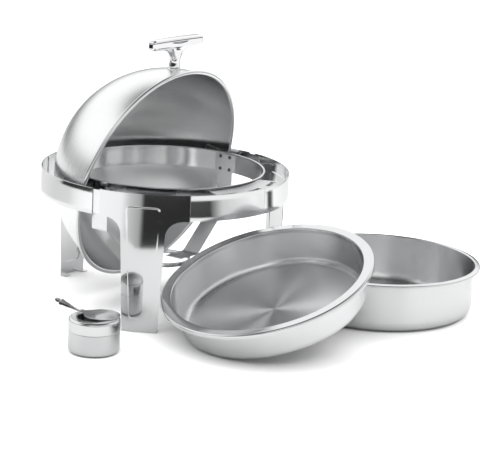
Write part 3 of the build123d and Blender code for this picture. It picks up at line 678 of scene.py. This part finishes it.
def damper_handle():
    """Raised handle that swells into lobes at its tip and leans over to one side."""
    around, stations = 14, 70
    rise, lean = radians(DAMPER_RISE), radians(DAMPER_LEAN if cos(swing) > 0 else -DAMPER_LEAN)
    length = (DAMPER_HANDLE - 7) / cos(rise)
    widths = [(0, 3.6), (8, 4.4), (length - 18, 6.4), (length - 14, 8.0), (length - 11, 8.6),
              (length - 8.5, 4.6), (length - 5.5, 5.8), (length - 1.5, 4.6), (length, 0.6)]
    verts = []
    for k in range(stations):
        at = length * k / (stations - 1)
        for (a0, w0), (a1, w1) in zip(widths, widths[1:]):
            if a0 <= at <= a1 + 1e-9:
                wide = w0 + (w1 - w0) * smooth(a0, a1, at)
                break
        thick = 0.55 + 0.75 * smooth(0, 14, at) if at < length - 1 else 0.5
        roll = lean * smooth(6, 20, at)
        for q in range(around):
            across, up = wide * cos(2 * pi * q / around), thick * sin(2 * pi * q / around)
            across, up = across * cos(roll) - up * sin(roll), across * sin(roll) + up * cos(roll)
            verts.append((-7 - at * cos(rise) - up * sin(rise), across,
                          0.5 + at * sin(rise) + up * cos(rise)))
    return verts, tube_faces(0, around, stations)


verts, faces = [], []
for part_verts, part_faces in (damper_disc(), damper_neck(), damper_handle()):
    faces += [[v + len(verts) for v in f] for f in part_faces]
    verts += part_verts
damper = new_piece("damper_plate", verts, faces, damper_place, materials=[damper_face])
piece(damper, "damper", "mirror_steel", "damper")


# ---------------------------------------------------------------- nodes that keep their CAD shape
def finish_of(name):
    if "arm_rivets" in name:
        return rivet_steel
    if "arm_" in name or "strap" in name:
        return strip
    return mirror if "bridge" in name else turned_steel


for name, node in frame["nodes"].items():
    node.data.materials.clear()
    node.data.materials.append(finish_of(name))


# ---------------------------------------------------------------- stage
def grey_stops(stops):
    return [(at, (grey, grey, grey)) for at, grey in stops]


def paper(name, grey, height):
    """Matt floor."""
    bpy.ops.mesh.primitive_plane_add(size=24, location=(0, 0, height))
    sheet = bpy.context.object
    sheet.name = name
    m, tree = new_material(name)
    shader = tree.nodes["Principled BSDF"]
    shader.inputs["Roughness"].default_value = 0.55
    fleck = add_node(tree, "TexNoise", {"Scale": 6.0}, "Fac")
    stops = grey_stops([(0, grey - 0.015), (1, grey + 0.015)])
    feed(tree, shader.inputs["Base Color"], add_ramp(tree, fleck, stops))
    sheet.data.materials.append(m)
    return sheet


def only_mirrored(obj):
    """Seen only in the polished steel."""
    obj.visible_camera = False
    obj.visible_diffuse = False
    obj.visible_shadow = False


paper("floor", 0.915, -0.0004)
# a darker copy of the floor that only the steel shows: painted shade, so that the floor's reflection is dimmer
# than the brightly lit floor
only_mirrored(paper("floor_painted_shade_in_steel", 0.53, 0.0))


def tones(tree, stops, direction):
    """Grey by azimuth, in degrees from the front towards +X; also gives the direction's height."""
    split = add_node(tree, "SeparateXYZ", {0: direction}).node
    behind = add_node(tree, "Math", {0: split.outputs["Y"], 1: -1.0}, operation="MULTIPLY")
    azimuth = add_node(tree, "Math", {0: split.outputs["X"], 1: behind}, operation="ARCTAN2")
    part = add_node(tree, "MapRange", {"Value": azimuth, "From Min": -pi, "From Max": pi})
    greys = add_ramp(tree, part, grey_stops([((at + 180) / 360, grey) for at, grey in stops]))
    return greys, split.outputs["Z"]


def card(name, rim, inner, stops, height):
    """Flat ring on the floor round the stand; inner gives its inner radius by azimuth, in millimetres."""
    angles = [a * 3 for a in range(120)]
    verts = []
    for a in angles:
        for r in (inner(a if a <= 180 else a - 360), rim):
            verts.append((r * sin(radians(a)) * MM, -r * cos(radians(a)) * MM, 0))
    count = len(angles)
    nexts = [(k, (k + 1) % count) for k in range(count)]
    mesh = bpy.data.meshes.new(name)
    mesh.from_pydata(verts, [], [[2 * k, 2 * k + 1, 2 * m + 1, 2 * m] for k, m in nexts])
    obj = bpy.data.objects.new(name, mesh)
    obj.location = (stand_axis.x * MM, stand_axis.y * MM, height)
    bpy.context.scene.collection.objects.link(obj)
    m, tree = new_material(name)
    greys = tones(tree, stops, add_node(tree, "TexCoord", output="Object"))[0]
    glow = add_node(tree, "Emission", {"Color": greys, "Strength": 1.2})
    feed(tree, tree.nodes["Material Output"].inputs["Surface"], glow)
    mesh.materials.append(m)
    only_mirrored(obj)


# greys by azimuth of the cards on the floor, which only the polished steel shows; the dark disc under the stand
# is painted shade, standing in for the shade beneath it
MIDDLE = [(-180, 0.72), (-160, 0.66), (-140, 0.7), (-128, 0.94), (-112, 1.08), (-86, 1.0), (-79, 0.62),
          (-70.5, 0.42), (-67, 0.03), (-13, 0.02), (-8, 0.28), (-2, 0.6), (12, 0.75), (30, 0.94), (40, 0.85),
          (47, 0.98), (50, 0.06), (54, 0.06), (56, 0.4), (59, 1.0), (80, 0.88), (105, 0.8), (135, 0.78),
          (180, 0.72)]
FAR = [(-180, 0.8), (-156, 0.6), (-150, 0.02), (-118, 0.02), (-110, 0.9), (-80, 0.9), (60, 0.9), (82, 0.5),
       (86, 0.02), (98, 0.02), (104, 0.8), (180, 0.8)]
# the disc under the stand glows dark: painted shade where the stand keeps light off the floor
UNDER_SHADE_GREYS = [(-180, 0.3), (0, 0.25), (180, 0.3)]
MIDDLE_EDGE = [(-180, 800), (-80, 800), (-72, 740), (-60, 745), (-50, 760), (-40, 790), (-16, 780), (0, 800),
               (180, 800)]
MIDDLE_RIM, FAR_RIM, UNDER_SHADE_RIM = 1350, 4000, 150


def middle_edge(a):
    """Closer in front of the left leg, where the dark card reaches below the band."""
    return float(np.interp(a, *zip(*MIDDLE_EDGE)))


card("card_middle", MIDDLE_RIM, middle_edge, MIDDLE, 0.0008)
# dark glowing disc under the stand, seen in the lid's inside and the legs: painted shade
card("painted_shade_under_stand", UNDER_SHADE_RIM, lambda a: 1, UNDER_SHADE_GREYS, 0.0004)
card("card_far", FAR_RIM, lambda a: MIDDLE_RIM, FAR, 0.0008)

# greys by azimuth of the studio's walls, low down and higher up, and of its ceiling
LOW = [(-180, 0.5), (-140, 0.4), (-128, 0.05), (-30, 0.04), (-20, 0.5), (0, 0.6), (44, 0.05), (62, 0.05),
       (80, 0.5), (110, 0.08), (160, 0.08), (180, 0.5)]
AROUND = [(-180, 1.1), (-122, 1.1), (-108, 0.3), (-80, 0.3), (-66, 1.0), (-45, 0.9), (-20, 0.75), (10, 0.8),
          (40, 0.8), (70, 1.0), (100, 1.15), (160, 1.15), (180, 1.05)]
CEILING = (0.05, 0.05, 0.05, 1)


def between(tree, low, high, height, first, second):
    """Mix of two tones by the height of the direction."""
    step = add_node(tree, "MapRange", {"Value": height, "From Min": low, "From Max": high},
                    interpolation_type="SMOOTHSTEP")
    return add_node(tree, "Mix", {"Factor": step, 6: first, 7: second}, 2, data_type="RGBA")


world = bpy.data.worlds.new("studio")
bpy.context.scene.world = world
world.use_nodes = True
sky = world.node_tree
direction = add_node(sky, "TexCoord", output="Generated")
around, upwards = tones(sky, AROUND, direction)
low = tones(sky, LOW, direction)[0]
walls = between(sky, 0.05, 0.32, upwards, low, around)
background = sky.nodes["Background"]
feed(sky, background.inputs["Color"], between(sky, 0.72, 0.92, upwards, walls, CEILING))
background.inputs["Strength"].default_value = 1.0

lamp = bpy.data.lights.new("overhead", "AREA")
lamp.shape = "RECTANGLE"
lamp.size = lamp.size_y = 14.0
lamp.energy = 1500
overhead = bpy.data.objects.new("overhead", lamp)
overhead.location = (0, 0, 6)
overhead.visible_glossy = False
bpy.context.scene.collection.objects.link(overhead)

bpy.context.scene.view_settings.view_transform = "Standard"

# ---------------------------------------------------------------- camera
AZIMUTH, PITCH, ROLL = -0.935405, 0.25185, 0.049594  # radians
AWAY, TARGET_HEIGHT = 3218.4, 200  # from the target, a point on the stand's axis
PICTURE_WIDTH, PICTURE_HEIGHT = 500, 462
TARGET_AT = (165.05, 186.17)  # the target's place in the picture, from its top left corner
FOCAL = 1765 * AWAY / 3071  # in the same unit as the picture's width
SENSOR = 36
back = Vector((sin(AZIMUTH) * cos(PITCH), -cos(AZIMUTH) * cos(PITCH), sin(PITCH)))
right = Vector((cos(AZIMUTH), sin(AZIMUTH), 0))
up = back.cross(right)
right, up = cos(ROLL) * right + sin(ROLL) * up, -sin(ROLL) * right + cos(ROLL) * up
across, down = TARGET_AT[0] - PICTURE_WIDTH / 2, TARGET_AT[1] - PICTURE_HEIGHT / 2
ray = (across * right - down * up) / FOCAL - back
camera_place = Matrix((right, up, back)).transposed().to_4x4()
camera_place.translation = (stand_axis + Z * TARGET_HEIGHT - ray * AWAY) * MM
lens = bpy.data.cameras.new("camera")
lens.sensor_width = SENSOR
lens.lens = FOCAL * SENSOR / PICTURE_WIDTH
lens.clip_end = 50
camera = bpy.data.objects.new("camera", lens)
camera.matrix_world = camera_place
bpy.context.scene.collection.objects.link(camera)
bpy.context.scene.camera = camera
